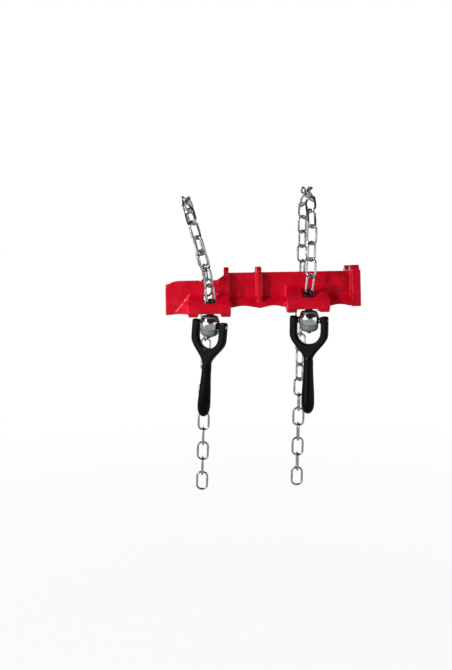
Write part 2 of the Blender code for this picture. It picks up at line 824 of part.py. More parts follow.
def build_nut(side, mat):
    frame = nut_frame(side)
    z = 0
    profile = [(NUT_TOP_D / 2, z)]
    for length, diameter in (
        (NUT_CONE, NUT_BAND_D),
        (NUT_BAND, NUT_BAND_LOW_D),
        (NUT_STEP, NUT_BODY_D),
        (NUT_BODY, NUT_BODY_D),
        (NUT_END, NUT_END_D),
    ):
        z -= length
        profile.append((diameter / 2, z))
    profile.reverse()
    nut = add_object(f"{side}_clamp_nut", turned(profile, NUT_SIDES, frame), mat, smooth=True)
    up = frame.to_3x3() @ Vector((0, 0, 1))
    across = frame.to_3x3() @ Vector((1, 0, 0))
    bore = rod(SCREW_D / 2 + RUN_CLEAR, frame.translation - up * (NUT_LENGTH + OVERRUN),
               frame.translation + up * OVERRUN, SCREW_SIDES)
    combine(nut, add_object(f"{side}_nut_bore_tool", bore), "DIFFERENCE")
    pivot = pivot_frame(side).translation
    for sign, word in ((-1, "low"), (1, "high")):
        start = pivot + across * sign * (NUT_BAND_D / 2 - PIN_BITE - GAP)
        end = pivot + across * sign * (NUT_BAND_D / 2 + OVERRUN)
        hole = rod(PIN_D / 2 + GAP, start, end, PIN_SIDES)
        combine(nut, add_object(f"{side}_pin_hole_{word}_tool", hole), "DIFFERENCE")
    return nut


def build_pins(side, mat):
    """Two trunnion pins, from inside the nut's wall to the fork's outer faces."""
    pins = []
    frame = pivot_frame(side)
    across = frame.to_3x3() @ Vector((1, 0, 0))
    pivot = frame.translation
    for sign, word in ((-1, "low"), (1, "high")):
        start = pivot + across * sign * (NUT_BAND_D / 2 - PIN_BITE)
        end = pivot + across * sign * (FORK_INNER / 2 + FORK_ARM)
        pin = rod(PIN_D / 2, start, end, PIN_SIDES)
        pins.append(add_object(f"{side}_trunnion_pin_{word}_x", pin, mat, smooth=True))
    return pins


def fork_frame(side):
    """Frame at the trunnions: X along the pins, Z up the hanging fork."""
    frame = pivot_frame(side)
    across = frame.to_3x3() @ Vector((1, 0, 0))
    lean = math.radians(HANG_LEAN_DEG)
    up = Vector((math.sin(lean), 0, math.cos(lean)))
    up = (up - up.dot(across) * across).normalized()
    up = Matrix.Rotation(math.radians(CLAMPS[side]["fork_swing_deg"]), 3, across) @ up
    result = Matrix((across, up.cross(across), up)).transposed().to_4x4()
    result.translation = frame.translation
    return result


def fork_outline():
    """The fork's front outline: two arms round a U and a neck, in X and Z."""
    outer = FORK_INNER / 2 + FORK_ARM
    inner = FORK_INNER / 2
    half = [(outer, FORK_TOP), (outer, -FORK_SHOULDER)]
    for k in range(1, FORK_ARC_STEPS):
        t = k / FORK_ARC_STEPS
        blend = (1 - math.cos(math.pi * t)) / 2
        drop = FORK_SHOULDER + (FORK_NECK_DROP - FORK_SHOULDER) * t
        half.append((outer + (FORK_TONGUE_HALF - outer) * blend, -drop))
    half.append((FORK_TONGUE_HALF, -FORK_NECK_DROP))
    centre = -(FORK_CROTCH - inner)
    inside = [(inner, FORK_TOP)]
    for k in range(FORK_ARC_STEPS + 1):
        turn = -math.pi * k / FORK_ARC_STEPS
        inside.append((inner * math.cos(turn), centre + inner * math.sin(turn)))
    inside.append((-inner, FORK_TOP))
    mirrored = [(-x, z) for x, z in reversed(half)]
    return half + mirrored + list(reversed(inside))


def grip_profile():
    """Nose, neck, swelling grip and rounded tip, as (radius, height) from the tip up."""
    neck = NECK_D / 2
    grip = GRIP_D / 2
    start = -FORK_NECK_DROP
    profile = [(neck * size, start + along * GRIP_LENGTH) for along, size in reversed(NOSE_SHARES)]
    for along, swell in GRIP_SHARES:
        profile.append((neck + (grip - neck) * swell, start - along * GRIP_LENGTH))
    last = GRIP_SHARES[-1][0]
    for along, size in TIP_SHARES:
        share = last + (1 - last) * along
        profile.append((grip * size, start - share * GRIP_LENGTH))
    profile.append((0, start - GRIP_LENGTH))
    profile.reverse()
    return profile


def build_fork(side, mat):
    frame = fork_frame(side)
    outline = [frame @ Vector((x, -FORK_THICK / 2, z)) for x, z in fork_outline()]
    sweep = (frame.to_3x3() @ Vector((0, 1, 0))) * FORK_THICK
    bm = prism(outline, sweep)
    fork = add_object(f"{side}_fork_handle", bm, mat, smooth=True)
    bevel = fork.modifiers.new("edges", "BEVEL")
    bevel.width = FORK_EDGE
    bevel.segments = FORK_EDGE_STEPS
    bevel.limit_method = "ANGLE"
    bevel.angle_limit = math.radians(BEVEL_ABOVE_DEG)
    grip = turned(grip_profile(), GRIP_SIDES, frame)
    combine(fork, add_object(f"{side}_grip_tool", grip), "UNION")
    across = frame.to_3x3() @ Vector((1, 0, 0))
    pivot = frame.translation
    for sign, word in ((-1, "low"), (1, "high")):
        face = pivot + across * sign * (NUT_BAND_D / 2 + FORK_BOSS_CLEAR)
        deep = pivot + across * sign * (FORK_INNER / 2 + FORK_ARM / 2)
        boss = rod(FORK_BOSS_D / 2, face, deep, PIN_SIDES)
        combine(fork, add_object(f"{side}_boss_{word}_tool", boss), "UNION")
    for sign, word in ((-1, "low"), (1, "high")):
        start = pivot + across * sign * NUT_BAND_D / 2
        end = pivot + across * sign * (FORK_INNER / 2 + FORK_ARM + OVERRUN)
        hole = rod(PIN_D / 2 + GAP, start, end, PIN_SIDES)
        combine(fork, add_object(f"{side}_eye_{word}_tool", hole), "DIFFERENCE")
    return fork


def build_run(name, joints, rolls, mat):
    """A stretch of chain as one node: a single link, or several that bear on each other."""
    free = WIRE_R + LINK_PLAY / 2
    bearing = WIRE_R - LINK_SINK / 2
    last = len(rolls) - 1
    run = None
    for k, roll in enumerate(rolls):
        start_hold = free if k == 0 else bearing
        end_hold = free if k == last else bearing
        bm = link_mesh(joints[k], joints[k + 1], roll, start_hold, end_hold)
        if run is None:
            run = add_object(name, bm, mat, smooth=True)
        else:
            combine(run, add_object(f"{name}_{k}_tool", bm), "UNION")
    return run


def build_loop(side, mat):
    """The chain from the screw's eye over the pipe to the hook; its first link is returned."""
    joints, _, _ = chain_layout(side)
    rolls = loop_rolls(len(joints) - 1)
    last = len(rolls) - 1
    anchor = build_run(f"{side}_anchor_link", joints[:2], rolls[:1], mat)
    for k in range(1, SINGLE_LOOP_LINKS + 1):
        build_run(f"{side}_loop_link_{k:02d}", joints[k : k + 2], rolls[k : k + 1], mat)
    first = SINGLE_LOOP_LINKS + 1
    middle = (first + last) // 2
    build_run(f"{side}_loop_far_upper", joints[first : middle + 1], rolls[first:middle], mat)
    build_run(f"{side}_loop_far_lower", joints[middle : last + 1], rolls[middle:last], mat)
    build_run(f"{side}_hook_link", joints[last:], rolls[last:], mat)
    return anchor


def build_tail(side, mat):
    """The hanging end of the chain, in three stretches that each sway from a link."""
    _, tail, _ = chain_layout(side)
    rolls = tail_rolls()
    upper = build_run(f"{side}_tail_upper", tail[: UPPER_TAIL_LINKS + 1], rolls[:UPPER_TAIL_LINKS], mat)
    top = add_axis(f"{side}_tail_top_axis", tail_frame(side, 0))
    hang(upper, top)
    for word in ("middle", "bottom"):
        first = UPPER_TAIL_LINKS if word == "middle" else LOWER_TAIL_START
        stop = LOWER_TAIL_START if word == "middle" else TAIL_LINKS
        axis = add_axis(f"{side}_tail_{word}_axis", tail_frame(side, first))
        hang(axis, top)
        for k in range(first, stop):
            link = build_run(f"{side}_tail_link_{k + 1:02d}", tail[k : k + 2], rolls[k : k + 1], mat)
            hang(link, axis)
        top = axis


def build_clamp(side, steel, black, enamel):
    """One chain clamp, with an empty on each joint's axis."""
    _, _, lift = chain_layout(side)
    feed = add_axis(f"{side}_screw_axis", screw_frame(side))
    hang(build_screw(side, lift, black), feed)
    hang(build_loop(side, steel), feed)
    build_washer(side, black)
    spin = add_axis(f"{side}_nut_axis", pivot_frame(side))
    hang(build_nut(side, steel), spin)
    for pin in build_pins(side, steel):
        hang(pin, spin)
    swing = add_axis(f"{side}_handle_axis", fork_frame(side))
    hang(swing, spin)
    hang(build_fork(side, enamel), swing)
    build_tail(side, steel)


def main():
    clear_scene()
    build_base(material("red_enamel_cast_iron"))
    steel = material("zinc_plated_steel")
    black = material("black_oxide_steel")
    enamel = material("black_enamel_cast_iron")
    for side in CLAMPS:
        build_clamp(side, steel, black, enamel)


main()
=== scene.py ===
# Looks for a pipe welding vise: red cast base, zinc chains, steel nuts, black fork handles.
# Metres, +Z up. -Y is the working side, +X runs along the base.

import math

import bmesh
import bpy
from mathutils import Matrix, Vector


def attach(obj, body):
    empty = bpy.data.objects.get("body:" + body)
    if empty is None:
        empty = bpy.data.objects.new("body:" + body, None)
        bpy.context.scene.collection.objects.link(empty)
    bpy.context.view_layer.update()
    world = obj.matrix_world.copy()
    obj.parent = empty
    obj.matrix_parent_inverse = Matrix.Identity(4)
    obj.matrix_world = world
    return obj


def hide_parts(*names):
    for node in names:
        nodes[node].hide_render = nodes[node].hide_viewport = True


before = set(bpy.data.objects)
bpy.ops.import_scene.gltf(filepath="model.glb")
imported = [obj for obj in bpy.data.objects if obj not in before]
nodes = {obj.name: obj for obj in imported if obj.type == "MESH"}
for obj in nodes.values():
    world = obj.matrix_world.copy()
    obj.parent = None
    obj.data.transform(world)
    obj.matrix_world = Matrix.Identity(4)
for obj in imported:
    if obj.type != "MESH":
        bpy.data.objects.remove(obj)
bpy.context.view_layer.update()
print("frame loaded:", len(nodes), "nodes")


# Camera, at the photograph's own place
view = {
    "imageWidth": 452,
    "imageHeight": 670,
    "focalPixels": 700.5,
    "horizonRow": 270.6,
    "rollDeg": 1.1,
    "place": (-0.0807, -1.600, 0.0),
    "sensor": 36.0,
}


def makeCamera():
    data = bpy.data.cameras.new("camera")
    data.sensor_width = view["sensor"]
    data.lens = view["sensor"] * view["focalPixels"] / view["imageHeight"]
    data.shift_y = (view["horizonRow"] - view["imageHeight"] / 2) / view["imageHeight"]
    camera = bpy.data.objects.new("camera", data)
    camera.location = view["place"]
    camera.rotation_euler = (math.pi / 2, math.radians(view["rollDeg"]), 0)
    bpy.context.scene.collection.objects.link(camera)
    bpy.context.scene.camera = camera


makeCamera()
bpy.context.scene.view_settings.view_transform = "Standard"
print("camera placed")


# Small helpers for colours, nodes and meshes
def linear(hexColour):
    channels = []
    for k in (0, 2, 4):
        value = int(hexColour.lstrip("#")[k:k + 2], 16) / 255
        channels.append(value / 12.92 if value <= 0.04045 else ((value + 0.055) / 1.055) ** 2.4)
    return (*channels, 1.0)


def perMm(size):
    return 1000 / size  # a noise scale that repeats about every size millimetres


def addNode(tree, kind, settings=None, inputs=None):
    node = tree.nodes.new(kind)
    for name, value in (settings or {}).items():
        setattr(node, name, value)
    for name, value in (inputs or {}).items():
        socket = node.inputs[name]
        if isinstance(value, bpy.types.NodeSocket):
            tree.links.new(value, socket)
        else:
            socket.default_value = value
    return node


def newMaterial(name):
    mat = bpy.data.materials.new(name)
    mat.use_nodes = True
    tree = mat.node_tree
    return mat, tree, tree.nodes["Principled BSDF"]


def colourSteps(ramp, steps):
    elements = ramp.color_ramp.elements
    for k, (place, colour) in enumerate(steps):
        element = elements[k] if k < len(elements) else elements.new(place)
        element.position = place
        element.color = linear(colour) if isinstance(colour, str) else (colour, colour, colour, 1)


def meshObject(name, bm, mat, smoothDeg=35):
    bmesh.ops.recalc_face_normals(bm, faces=bm.faces)
    mesh = bpy.data.meshes.new(name)
    bm.to_mesh(mesh)
    bm.free()
    mesh.shade_smooth()
    mesh.set_sharp_from_angle(angle=math.radians(smoothDeg))
    mesh.materials.append(mat)
    obj = bpy.data.objects.new(name, mesh)
    bpy.context.scene.collection.objects.link(obj)
    return obj


def applied(obj):
    graph = bpy.context.evaluated_depsgraph_get()
    mesh = bpy.data.meshes.new_from_object(obj.evaluated_get(graph))
    obj.modifiers.clear()
    obj.data = mesh
    return obj


# Materials
enamel = {
    "red": "#E00828",
    "redDeep": "#C80420",
    "orangePeelMm": 3.2,
    "sandMm": 0.9,
    "swellMm": 26,
    "gloss": 0.16,
    "coat": 0.16,
}


def redEnamelOnCastIron():
    # gloss enamel sprayed on sand-cast iron: wet shine, broken by the sand grain and slow waves below it
    mat, tree, shader = newMaterial("redEnamelOnCastIron")
    place = addNode(tree, "ShaderNodeTexCoord").outputs["Object"]
    swell = addNode(tree, "ShaderNodeTexNoise", inputs={
        "Vector": place, "Scale": perMm(enamel["swellMm"]), "Detail": 3.0})
    tone = addNode(tree, "ShaderNodeValToRGB", inputs={"Fac": swell.outputs["Fac"]})
    colourSteps(tone, ((0.30, enamel["redDeep"]), (0.62, enamel["red"])))
    peel = addNode(tree, "ShaderNodeTexNoise", inputs={
        "Vector": place, "Scale": perMm(enamel["orangePeelMm"]), "Detail": 2.0})
    sand = addNode(tree, "ShaderNodeTexNoise", inputs={
        "Vector": place, "Scale": perMm(enamel["sandMm"]), "Detail": 3.0})
    height = addNode(tree, "ShaderNodeMix", inputs={
        "Factor": 0.45, "A": peel.outputs["Fac"], "B": sand.outputs["Fac"]})
    bump = addNode(tree, "ShaderNodeBump", inputs={
        "Strength": 0.45, "Distance": 0.0005, "Height": height.outputs["Result"]})
    rough = addNode(tree, "ShaderNodeMapRange", inputs={
        "Value": swell.outputs["Fac"], "From Min": 0.3, "From Max": 0.7, "To Min": 0.22, "To Max": 0.34})
    tree.links.new(tone.outputs["Color"], shader.inputs["Base Color"])
    tree.links.new(rough.outputs["Result"], shader.inputs["Roughness"])
    tree.links.new(bump.outputs["Normal"], shader.inputs["Normal"])
    shader.inputs["Specular IOR Level"].default_value = enamel["gloss"]
    shader.inputs["Coat Weight"].default_value = enamel["coat"]
    shader.inputs["Coat Roughness"].default_value = 0.10
    return mat


zinc = {"bright": "#BBBFC2", "dull": "#8F9498", "cloudMm": 5.0, "grainMm": 0.7}


def zincPlatedSteel():
    # bright zinc on drawn wire: silver with a faint cloudiness and fine pits
    mat, tree, shader = newMaterial("zincPlatedSteel")
    place = addNode(tree, "ShaderNodeTexCoord").outputs["Object"]
    cloud = addNode(tree, "ShaderNodeTexNoise", inputs={
        "Vector": place, "Scale": perMm(zinc["cloudMm"]), "Detail": 4.0})
    tone = addNode(tree, "ShaderNodeValToRGB", inputs={"Fac": cloud.outputs["Fac"]})
    colourSteps(tone, ((0.35, zinc["dull"]), (0.65, zinc["bright"])))
    grain = addNode(tree, "ShaderNodeTexNoise", inputs={
        "Vector": place, "Scale": perMm(zinc["grainMm"]), "Detail": 2.0})
    bump = addNode(tree, "ShaderNodeBump", inputs={
        "Strength": 0.25, "Distance": 0.0001, "Height": grain.outputs["Fac"]})
    rough = addNode(tree, "ShaderNodeMapRange", inputs={
        "Value": cloud.outputs["Fac"], "From Min": 0.3, "From Max": 0.7, "To Min": 0.24, "To Max": 0.12})
    tree.links.new(tone.outputs["Color"], shader.inputs["Base Color"])
    tree.links.new(rough.outputs["Result"], shader.inputs["Roughness"])
    tree.links.new(bump.outputs["Normal"], shader.inputs["Normal"])
    shader.inputs["Metallic"].default_value = 1.0
    return mat


plated = {"face": "#C9CCCE", "shade": "#AEB4B6", "turnedMm": 0.6, "cloudMm": 9.0}


def platedTurnedSteel():
    # turned steel with a bright plate: near a mirror, with fine lathe marks round its axis
    mat, tree, shader = newMaterial("platedTurnedSteel")
    place = addNode(tree, "ShaderNodeTexCoord").outputs["Object"]
    cloud = addNode(tree, "ShaderNodeTexNoise", inputs={
        "Vector": place, "Scale": perMm(plated["cloudMm"]), "Detail": 3.0})
    tone = addNode(tree, "ShaderNodeValToRGB", inputs={"Fac": cloud.outputs["Fac"]})
    colourSteps(tone, ((0.35, plated["shade"]), (0.65, plated["face"])))
    flat = addNode(tree, "ShaderNodeMapping", inputs={"Vector": place, "Scale": (0.05, 0.05, 1.0)})
    lathe = addNode(tree, "ShaderNodeTexNoise", inputs={
        "Vector": flat.outputs["Vector"], "Scale": perMm(plated["turnedMm"]), "Detail": 2.0})
    bump = addNode(tree, "ShaderNodeBump", inputs={
        "Strength": 0.12, "Distance": 0.0001, "Height": lathe.outputs["Fac"]})
    rough = addNode(tree, "ShaderNodeMapRange", inputs={
        "Value": cloud.outputs["Fac"], "From Min": 0.3, "From Max": 0.7, "To Min": 0.16, "To Max": 0.10})
    tree.links.new(tone.outputs["Color"], shader.inputs["Base Color"])
    tree.links.new(rough.outputs["Result"], shader.inputs["Roughness"])
    tree.links.new(bump.outputs["Normal"], shader.inputs["Normal"])
    shader.inputs["Metallic"].default_value = 1.0
    return mat


satin = {"light": "#8F9494", "dark": "#787E7E", "cloudMm": 6.0, "turnedMm": 0.8}


def satinTurnedSteel():
    # the nut's collar as it left the coarse cut: grey and satin, no mirror in it
    mat, tree, shader = newMaterial("satinTurnedSteel")
    place = addNode(tree, "ShaderNodeTexCoord").outputs["Object"]
    cloud = addNode(tree, "ShaderNodeTexNoise", inputs={
        "Vector": place, "Scale": perMm(satin["cloudMm"]), "Detail": 4.0})
    tone = addNode(tree, "ShaderNodeValToRGB", inputs={"Fac": cloud.outputs["Fac"]})
    colourSteps(tone, ((0.35, satin["dark"]), (0.65, satin["light"])))
    flat = addNode(tree, "ShaderNodeMapping", inputs={"Vector": place, "Scale": (0.1, 0.1, 1.0)})
    lathe = addNode(tree, "ShaderNodeTexNoise", inputs={
        "Vector": flat.outputs["Vector"], "Scale": perMm(satin["turnedMm"]), "Detail": 3.0})
    bump = addNode(tree, "ShaderNodeBump", inputs={
        "Strength": 0.3, "Distance": 0.0002, "Height": lathe.outputs["Fac"]})
    tree.links.new(tone.outputs["Color"], shader.inputs["Base Color"])
    tree.links.new(bump.outputs["Normal"], shader.inputs["Normal"])
    shader.inputs["Metallic"].default_value = 0.6
    shader.inputs["Roughness"].default_value = 0.48
    return mat


oxide = {"black": "#1B1C1E", "worn": "#3A3B3D", "cloudMm": 4.0, "grainMm": 0.5}


def blackOxideSteel():
    # oiled black oxide on forged and threaded steel: dark, satin, greyer where it rubs
    mat, tree, shader = newMaterial("blackOxideSteel")
    place = addNode(tree, "ShaderNodeTexCoord").outputs["Object"]
    cloud = addNode(tree, "ShaderNodeTexNoise", inputs={
        "Vector": place, "Scale": perMm(oxide["cloudMm"]), "Detail": 4.0})
    tone = addNode(tree, "ShaderNodeValToRGB", inputs={"Fac": cloud.outputs["Fac"]})
    colourSteps(tone, ((0.45, oxide["black"]), (0.75, oxide["worn"])))
    grain = addNode(tree, "ShaderNodeTexNoise", inputs={
        "Vector": place, "Scale": perMm(oxide["grainMm"]), "Detail": 2.0})
    bump = addNode(tree, "ShaderNodeBump", inputs={
        "Strength": 0.3, "Distance": 0.0001, "Height": grain.outputs["Fac"]})
    tree.links.new(tone.outputs["Color"], shader.inputs["Base Color"])
    tree.links.new(bump.outputs["Normal"], shader.inputs["Normal"])
    shader.inputs["Metallic"].default_value = 0.8
    shader.inputs["Roughness"].default_value = 0.36
    return mat


japan = {
    "black": "#050507",
    "thin": "#0A0A0D",
    "swellMm": 18,
    "peelMm": 2.4,
    "sandMm": 0.8,
    "gloss": 0.06,
    "coat": 0.03,
}


def blackEnamelOnCastIron():
    # dipped black enamel on a cast handle: deep black, glossy, with soft waves in the highlights
    mat, tree, shader = newMaterial("blackEnamelOnCastIron")
    place = addNode(tree, "ShaderNodeTexCoord").outputs["Object"]
    swell = addNode(tree, "ShaderNodeTexNoise", inputs={
        "Vector": place, "Scale": perMm(japan["swellMm"]), "Detail": 3.0})
    tone = addNode(tree, "ShaderNodeValToRGB", inputs={"Fac": swell.outputs["Fac"]})
    colourSteps(tone, ((0.35, japan["black"]), (0.65, japan["thin"])))
    peel = addNode(tree, "ShaderNodeTexNoise", inputs={
        "Vector": place, "Scale": perMm(japan["peelMm"]), "Detail": 2.0})
    sand = addNode(tree, "ShaderNodeTexNoise", inputs={
        "Vector": place, "Scale": perMm(japan["sandMm"]), "Detail": 2.0})
    height = addNode(tree, "ShaderNodeMix", inputs={
        "Factor": 0.3, "A": peel.outputs["Fac"], "B": sand.outputs["Fac"]})
    bump = addNode(tree, "ShaderNodeBump", inputs={
        "Strength": 0.25, "Distance": 0.0003, "Height": height.outputs["Result"]})
    rough = addNode(tree, "ShaderNodeMapRange", inputs={
        "Value": swell.outputs["Fac"], "From Min": 0.3, "From Max": 0.7, "To Min": 0.22, "To Max": 0.34})
    tree.links.new(tone.outputs["Color"], shader.inputs["Base Color"])
    tree.links.new(rough.outputs["Result"], shader.inputs["Roughness"])
    tree.links.new(bump.outputs["Normal"], shader.inputs["Normal"])
    shader.inputs["Specular IOR Level"].default_value = japan["gloss"]
    shader.inputs["Coat Weight"].default_value = japan["coat"]
    shader.inputs["Coat Roughness"].default_value = 0.10
    return mat


redEnamel = redEnamelOnCastIron()
zincPlate = zincPlatedSteel()
platedSteel = platedTurnedSteel()
satinSteel = satinTurnedSteel()
blackOxide = blackOxideSteel()
blackEnamel = blackEnamelOnCastIron()
print("materials made")


# Chain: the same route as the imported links, drawn with round wire
pipe = {"outside": 0.1683, "clear": 0.0006}
chain = {
    "wire": 0.005,
    "inner": 0.0361,
    "width": 0.0290,
    "endDepth": 0.0095,
    "play": 0.0005,
    "rollDeg": 45,
    "untwist": 6,
    "tailLinks": 12,
    "upperTail": 4,
    "singles": 9,
    "leanDeg": 2.6,
    "hookSeat": 0.0009,
    "hookRecess": 0.007,
    "wireSides": 14,
    "arcSteps": 9,
    "legSteps": 7,
    "weldShare": 0.12,
    "weldLength": 0.0022,
}
screw = {
    "out": 0.078,
    "outside": 0.010,
    "pitch": 0.002,
    "threadDepth": 0.0006,
    "eyeBar": 0.007,
    "eyeRadius": 0.0085,
    "eyeLiftMin": 0.0255,
    "end": 0.0035,
}
sides = {
    "left": {
        "nearX": -0.1165, "farX": -0.1290, "underside": -0.0930, "slack": 0.0015, "drop": 0.019,
        "swing": -0.0465, "swingPower": 1.15, "swingStart": -0.0240,
        "leanDeg": 3.9, "turnDeg": -30, "swingDeg": 2.6,
    },
    "right": {
        "nearX": 0.0980, "farX": 0.0980, "underside": -0.0865, "slack": 0, "drop": 0,
        "swing": 0.0090, "swingPower": 0.35, "swingStart": -0.0400,
        "leanDeg": 0, "turnDeg": -18, "swingDeg": 0,
    },
}
pitch = chain["inner"] - chain["play"]
bow = (chain["width"] - chain["wire"]) / 2
pipeRadius = pipe["outside"] / 2
loopRadius = pipeRadius + math.sin(math.radians(chain["rollDeg"])) * bow + chain["wire"] / 2 + pipe["clear"]


def loopCentre(side):
    return pipeRadius - side["drop"]  # lower where the chain goes round the start of a bend


def loopTilt(side):
    rise = loopCentre(side) - side["underside"]
    span = math.hypot(screw["out"], rise)
    return math.atan2(rise, screw["out"]) - math.acos((loopRadius + side["slack"]) / span)


def loopPath(side, steps=400):
    tilt = loopTilt(side)
    radius = loopRadius + side["slack"]
    centre = loopCentre(side)
    run = math.sqrt(screw["out"]**2 + (centre - side["underside"])**2 - radius**2)
    total = 2 * run + radius * (math.pi + 2 * tilt)
    top = centre + radius
    points = []
    for k in range(steps + 1):
        share = k / steps
        s = share * total
        if s < run or s > total - run:
            sign = -1 if s < run else 1
            s = min(s, total - s)
            y = sign * (screw["out"] + s * math.sin(tilt))
            z = side["underside"] + s * math.cos(tilt)
        else:
            turn = math.pi + tilt - (s - run) / radius
            y = radius * math.cos(turn)
            z = centre + radius * math.sin(turn)
        climb = max(0.0, (z - side["swingStart"]) / (top - side["swingStart"]))
        level = side["nearX"] + share * (side["farX"] - side["nearX"])
        points.append(Vector((level + side["swing"] * climb ** side["swingPower"], y, z)))
    return points


def walk(points, start, step, count):
    travelled = 0.0
    index = 0
    while travelled + (points[index + 1] - points[index]).length < start:
        travelled += (points[index + 1] - points[index]).length
        index += 1
    share = (start - travelled) / (points[index + 1] - points[index]).length
    joints = [points[index].lerp(points[index + 1], share)]
    for _ in range(count):
        while index + 2 < len(points) and (points[index + 1] - joints[-1]).length < step:
            index += 1
        low, high = 0.0, 1.0
        for _ in range(40):
            middle = (low + high) / 2
            if (points[index].lerp(points[index + 1], middle) - joints[-1]).length < step:
                low = middle
            else:
                high = middle
        joints.append(points[index].lerp(points[index + 1], low))
    return joints


def screwFrame(side):
    tilt = loopTilt(side)
    lean = math.radians(side["leanDeg"])
    up = Vector((math.tan(lean), -math.sin(tilt), math.cos(tilt))).normalized()
    right = Vector((1, 0, 0))
    right = (right - right.dot(up) * up).normalized()
    place = Matrix((right, up.cross(right), up)).transposed().to_4x4()
    place.translation = (side["nearX"], -screw["out"], side["underside"])
    return place


def chainLayout(side):
    path = loopPath(side)
    length = sum((b - a).length for a, b in zip(path, path[1:]))
    tilt = loopTilt(side)
    farUp = Vector((0, math.sin(tilt), math.cos(tilt)))
    seat = chain["wire"] + chain["hookSeat"] + chain["play"] / 2 - chain["hookRecess"]
    count = int((length + seat - screw["eyeLiftMin"]) / pitch)
    low, high = 0.0, length + seat - count * pitch + pitch
    for _ in range(40):
        start = (low + high) / 2
        end = walk(path, start, pitch, count)[-1]
        if (end - path[-1]).dot(farUp) > max(0, -seat):
            low = start
        else:
            high = start
    joints = walk(path, low, pitch, count)
    place = screwFrame(side)
    axis = place.to_3x3() @ Vector((0, 0, 1))
    reach = joints[1] - place.translation
    aside = (reach - reach.dot(axis) * axis).length
    lift = reach.dot(axis) - math.sqrt(pitch**2 - aside**2)
    joints[0] = place.translation + lift * axis
    lean = math.radians(chain["leanDeg"])
    down = Vector((-math.sin(lean), 0, -math.cos(lean)))
    tail = [joints[-1] + k * pitch * down for k in range(chain["tailLinks"] + 1)]
    return joints, tail, lift


def loopRolls(count):
    rolls = []
    for k in range(count):
        left = count - 1 - k
        share = max(0.0, 1 - left / chain["untwist"])
        settle = math.radians(90 - chain["rollDeg"])
        rolls.append(math.radians(chain["rollDeg"]) * (1 if left % 2 == 0 else -1) + settle * share)
    return rolls


def tailRolls():
    rolls = []
    for k in range(chain["tailLinks"]):
        rolls.append(k * math.pi / 2 + min(1.0, k / chain["untwist"]) * math.pi / 2)
    return rolls


def wireLoop(bm, centres, radii, sideAxis, wireSides):
    rings = []
    count = len(centres)
    for k, centre in enumerate(centres):
        along = (centres[(k + 1) % count] - centres[k - 1]).normalized()
        out = along.cross(sideAxis).normalized()
        ring = []
        for s in range(wireSides):
            turn = math.tau * s / wireSides
            way = math.cos(turn) * out + math.sin(turn) * sideAxis
            ring.append(bm.verts.new(centre + radii[k] * way))
        rings.append(ring)
    for k in range(count):
        a, b = rings[k], rings[(k + 1) % count]
        for s in range(wireSides):
            n = (s + 1) % wireSides
            bm.faces.new((a[s], a[n], b[n], b[s]))


def addLink(bm, start, end, roll):
    along = (end - start).normalized()
    across = Vector((1, 0, 0))
    across = (across - across.dot(along) * along).normalized()
    wide = math.cos(roll) * across + math.sin(roll) * along.cross(across)
    hold = chain["wire"] / 2 + chain["play"] / 2
    depth = chain["endDepth"]
    centres = []
    for joint, way in ((end, 1), (start, -1)):
        for k in range(chain["arcSteps"] + 1):
            turn = math.pi * k / chain["arcSteps"]
            offset = way * (hold - depth + depth * math.sin(turn))
            centres.append(joint + offset * along + way * bow * math.cos(turn) * wide)
        # the straight leg to the other end, where one leg has the weld
        last = centres[-1]
        other = start if way == 1 else end
        first = other - way * (hold - depth) * along - way * bow * wide
        for k in range(1, chain["legSteps"]):
            centres.append(last.lerp(first, k / chain["legSteps"]))
    middle = (start + end) / 2 + bow * wide
    radii = []
    for centre in centres:
        swell = math.exp(-((centre - middle).length / chain["weldLength"]) ** 2)
        radii.append(chain["wire"] / 2 * (1 + chain["weldShare"] * swell))
    wireLoop(bm, centres, radii, along.cross(wide), chain["wireSides"])


def chainPiece(name, joints, rolls, body, node):
    bm = bmesh.new()
    for k, roll in enumerate(rolls):
        addLink(bm, joints[k], joints[k + 1], roll)
    piece = meshObject(name, bm, zincPlate, 60)
    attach(piece, body)
    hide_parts(node)


def makeChain(word):
    side = sides[word]
    joints, tail, _ = chainLayout(side)
    rolls = loopRolls(len(joints) - 1)
    last = len(rolls) - 1
    chainPiece(f"{word}AnchorLink", joints[:2], rolls[:1], f"{word}_screw",
               f"{word}_anchor_link")
    for k in range(1, chain["singles"] + 1):
        chainPiece(f"{word}LoopLink{k}", joints[k:k + 2], rolls[k:k + 1], "base",
                   f"{word}_loop_link_{k:02d}")
    first = chain["singles"] + 1
    middle = (first + last) // 2
    chainPiece(f"{word}FarUpper", joints[first:middle + 1], rolls[first:middle], "base",
               f"{word}_loop_far_upper")
    chainPiece(f"{word}FarLower", joints[middle:last + 1], rolls[middle:last], "base",
               f"{word}_loop_far_lower")
    chainPiece(f"{word}HookLink", joints[last:], rolls[last:], "base", f"{word}_hook_link")
    rolls = tailRolls()
    upper = chain["upperTail"]
    chainPiece(f"{word}TailUpper", tail[:upper + 1], rolls[:upper], f"{word}_tail_top",
               f"{word}_tail_upper")
    for k in range(upper, chain["tailLinks"]):
        body = f"{word}_tail_middle" if k < 2 * upper else f"{word}_tail_bottom"
        chainPiece(f"{word}TailLink{k + 1}", tail[k:k + 2], rolls[k:k + 1], body,
                   f"{word}_tail_link_{k + 1:02d}")


# Base casting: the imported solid, rounded and filleted all over as a sand casting is
casting = {"voxel": 0.0014, "smoothing": 7, "bore": 0.0118, "boreLength": 0.040}


